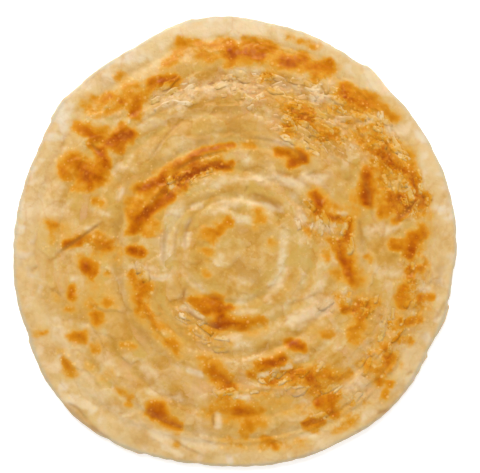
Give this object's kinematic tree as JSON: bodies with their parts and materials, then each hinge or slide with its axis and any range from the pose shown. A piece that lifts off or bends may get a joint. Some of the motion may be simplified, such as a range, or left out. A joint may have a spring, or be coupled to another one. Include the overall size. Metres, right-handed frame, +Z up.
{
  "type": "paratha flatbread",
  "caption": "Round flaky griddle flatbread with a coiled, lightly ridged top and a thin smooth rim; it lies flat on its underside.",
  "frame": {"origin": "middle of the flat underside, below the middle of the bread's box", "axes": "+Z up out of the toasted top face; +Y towards the side where the coil's seam starts and ends; +X to the right of it seen from above"},
  "size_m": [0.1886, 0.1916, 0.0058],
  "materials": {
    "toasted_dough": "satin"
  },
  "bodies": {
    "root": {"paratha": "toasted_dough"}
  },
  "joints": []
}
